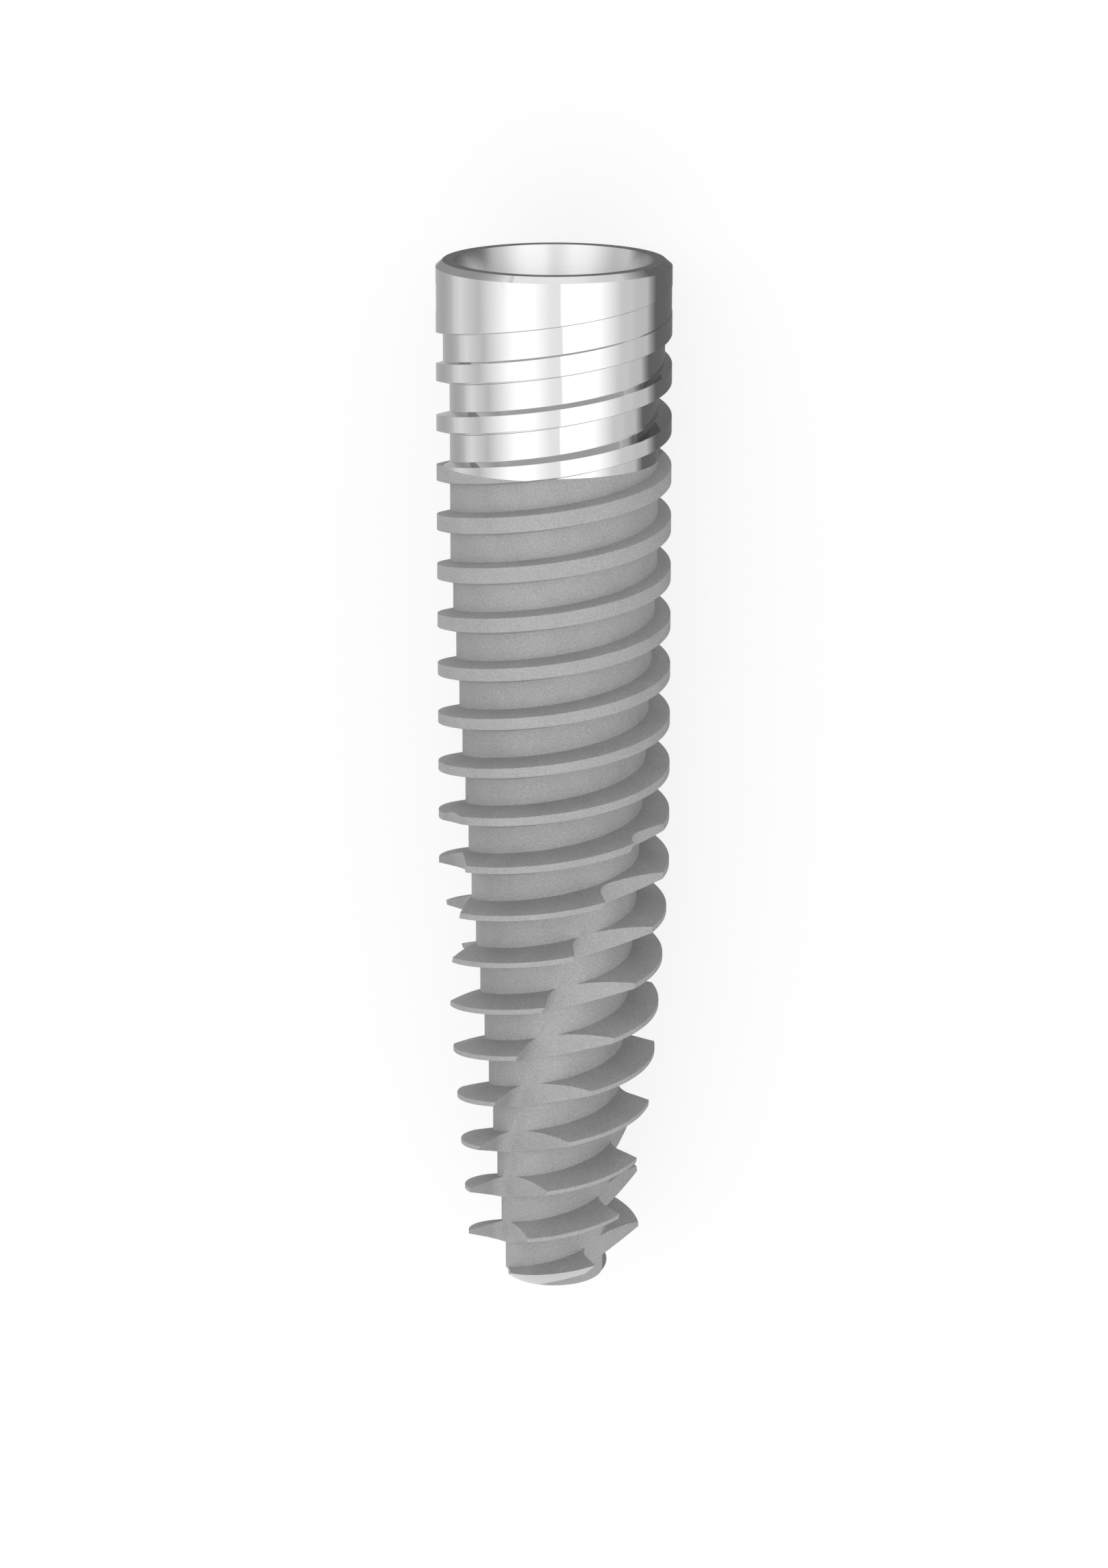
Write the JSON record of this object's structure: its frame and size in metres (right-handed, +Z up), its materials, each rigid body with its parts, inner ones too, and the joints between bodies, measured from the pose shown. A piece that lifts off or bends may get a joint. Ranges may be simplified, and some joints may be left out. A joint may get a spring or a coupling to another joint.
{
  "type": "dental implant",
  "caption": "Tapered one-piece screw implant with a double thread, helical cutting flutes toward the tip and a conical hexagon socket in the rim.",
  "frame": {"origin": "on the ground, below the middle of the implant, which lies on the crests of its thread", "axes": "+Y along the screw axis toward the open rim, -Y toward the tip, +Z up: the side seen in the picture faces up, rolled 12 degrees to +X about the screw axis"},
  "size_m": [0.004, 0.018, 0.004],
  "materials": {
    "titanium": "polished at the collar and first turns, finely sand-blasted below"
  },
  "bodies": {
    "root": {"implant_body": "titanium"}
  },
  "joints": []
}
